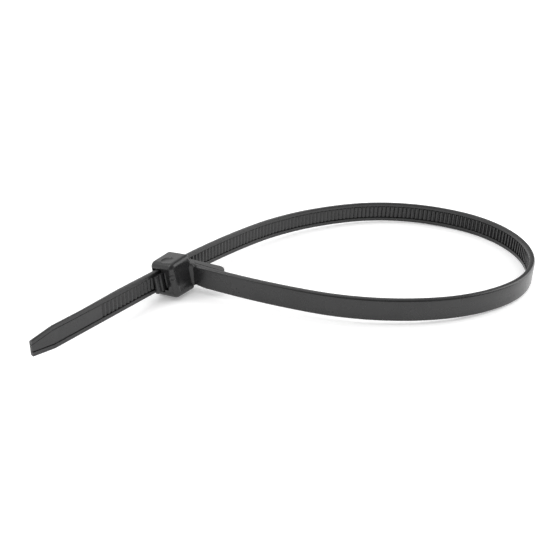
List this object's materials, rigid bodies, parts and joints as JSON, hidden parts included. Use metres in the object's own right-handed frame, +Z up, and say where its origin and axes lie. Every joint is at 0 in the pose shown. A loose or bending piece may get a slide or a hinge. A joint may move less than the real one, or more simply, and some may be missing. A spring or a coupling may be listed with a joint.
{
  "type": "cable tie",
  "caption": "Moulded nylon cable tie: a toothed strap closed through its own locking head into a loose drop-shaped loop, lying on its side with a straight tapered tail.",
  "frame": {"origin": "on the resting surface, under the centre of the loop's round far end", "axes": "+X along the loop's length, away from the head; +Z up, across the strap's width"},
  "size_m": [0.1014, 0.0713, 0.0088],
  "materials": {
    "nylon": "black moulded nylon, satin"
  },
  "bodies": {
    "root": {"cable_tie": "nylon"}
  },
  "joints": []
}
